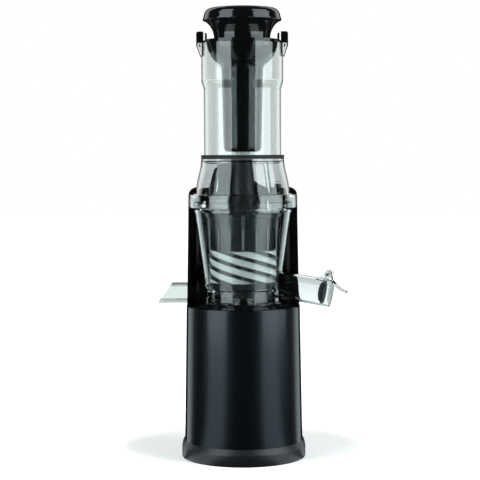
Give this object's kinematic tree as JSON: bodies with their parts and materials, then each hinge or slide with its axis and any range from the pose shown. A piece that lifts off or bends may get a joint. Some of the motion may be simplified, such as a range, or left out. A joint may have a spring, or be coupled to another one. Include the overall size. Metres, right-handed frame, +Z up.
{
  "type": "cold press juicer",
  "caption": "Slim upright cold press juicer with a gloss black base and column, smoky clear bowl with steel strainer and auger, clear feed tube and mushroom pusher.",
  "frame": {"origin": "on the table, on the axis of the auger and drive shaft", "axes": "+Z up along the auger, -Y towards the front panel, +X towards the juice spout"},
  "size_m": [0.1869, 0.1456, 0.4455],
  "materials": {
    "gloss_black": "high gloss moulded ABS",
    "foot_black": "satin moulded ABS",
    "dark_metal": "satin dark lacquer on steel",
    "inner_plastic": "plain moulded plastic",
    "rubber": "matt rubber",
    "silicone": "soft clear silicone",
    "steel": "brushed stainless steel",
    "polished_steel": "polished stainless steel",
    "cast_metal": "die-cast aluminium",
    "bronze": "sintered bronze",
    "iron": "laminated iron with copper",
    "gear_plastic": "acetal",
    "board": "circuit board",
    "smoky_clear": "smoky clear moulded plastic",
    "clear": "clear moulded plastic",
    "smoky_dark": "dark translucent moulded plastic"
  },
  "bodies": {
    "base": {"foot_ring": "foot_black", "bottom_plate": "inner_plastic", "non_slip_pad": "rubber", "bottom_screws": "steel", "front_panel": "dark_metal", "rear_housing": "gloss_black", "column_liner": "gloss_black", "top_deck": "gloss_black", "deck_seal": "rubber", "gearbox_case": "cast_metal", "gearbox_cover": "cast_metal", "output_bush": "bronze", "gear_axles": "steel", "gearbox_screws": "steel", "motor_can": "steel", "motor_endcap": "cast_metal", "motor_magnets": "iron", "motor_bearings": "steel", "control_board": "board", "cord_gland": "rubber", "switch_frame": "foot_black", "lid_sensor": "board"},
    "rotor": {"rotor_shaft": "polished_steel", "rotor_core": "iron", "motor_pinion": "bronze", "cooling_fan": "gear_plastic"},
    "gear_one": {"first_gear": "gear_plastic"},
    "gear_two": {"second_gear": "gear_plastic"},
    "drive": {"output_gear": "gear_plastic", "drive_shaft": "polished_steel"},
    "rocker": {"power_rocker": "foot_black"},
    "bowl": {"juice_bowl": "smoky_clear", "bowl_seal": "silicone", "pulp_chute": "clear", "pulp_plug": "silicone", "strainer_frame": "smoky_dark", "strainer_sleeve": "steel", "spout_pin": "steel"},
    "auger": {"auger_screw": "foot_black", "auger_socket": "steel", "auger_pin": "polished_steel"},
    "cap": {"spout_cap": "smoky_clear", "cap_seal": "rubber"},
    "hopper": {"lid_ring": "smoky_clear", "feed_dome": "smoky_clear", "lid_gasket": "silicone", "feed_gasket": "rubber", "feed_tube": "clear", "hopper_pins": "foot_black", "lid_magnet": "foot_black"},
    "pusher": {"pusher_cap": "gloss_black", "pusher_collar": "gloss_black", "pusher_body": "gloss_black"}
  },
  "joints": [
    {"name": "motor_spin", "type": "hinge", "parent": "base", "child": "rotor", "pos_m": [0, 0, 0.06], "axis": [0, 0, 1], "continuous": true},
    {"name": "gear_one_spin", "type": "hinge", "parent": "base", "child": "gear_one", "pos_m": [0.01419, 0.02297, 0.108], "axis": [0, 0, 1], "continuous": true},
    {"name": "gear_two_spin", "type": "hinge", "parent": "base", "child": "gear_two", "pos_m": [-0.0138, 0.02233, 0.118], "axis": [0, 0, 1], "continuous": true},
    {"name": "drive_spin", "type": "hinge", "parent": "base", "child": "drive", "pos_m": [0, 0, 0.13], "axis": [0, 0, 1], "continuous": true},
    {"name": "switch_rock", "type": "hinge", "parent": "base", "child": "rocker", "pos_m": [0, 0.07573, 0.118], "axis": [1, 0, 0], "range_deg": [-10, 10]},
    {"name": "bowl_lift", "type": "slide", "parent": "base", "child": "bowl", "axis": [0, 0, 1], "range_m": [0, 0.125]},
    {"name": "auger_spin", "type": "hinge", "parent": "bowl", "child": "auger", "pos_m": [0, 0, 0.2], "axis": [0, 0, 1], "continuous": true},
    {"name": "spout_cap_swing", "type": "hinge", "parent": "bowl", "child": "cap", "pos_m": [0.08363, -0.02587, 0.18402], "axis": [-0.2215, -0.9751, 0], "range_deg": [0, 100]},
    {"name": "hopper_turn", "type": "hinge", "parent": "bowl", "child": "hopper", "pos_m": [0, 0, 0.25], "axis": [0, 0, 1], "range_deg": [0, 25]},
    {"name": "pusher_lift", "type": "slide", "parent": "hopper", "child": "pusher", "axis": [0, 0, 1], "range_m": [0, 0.115]}
  ],
  "couplings": [
    {"joint": "gear_one_spin", "follows": "motor_spin", "ratio": -0.22727},
    {"joint": "gear_two_spin", "follows": "motor_spin", "ratio": 0.061983},
    {"joint": "drive_spin", "follows": "motor_spin", "ratio": -0.01937},
    {"joint": "auger_spin", "follows": "motor_spin", "ratio": -0.01937}
  ]
}
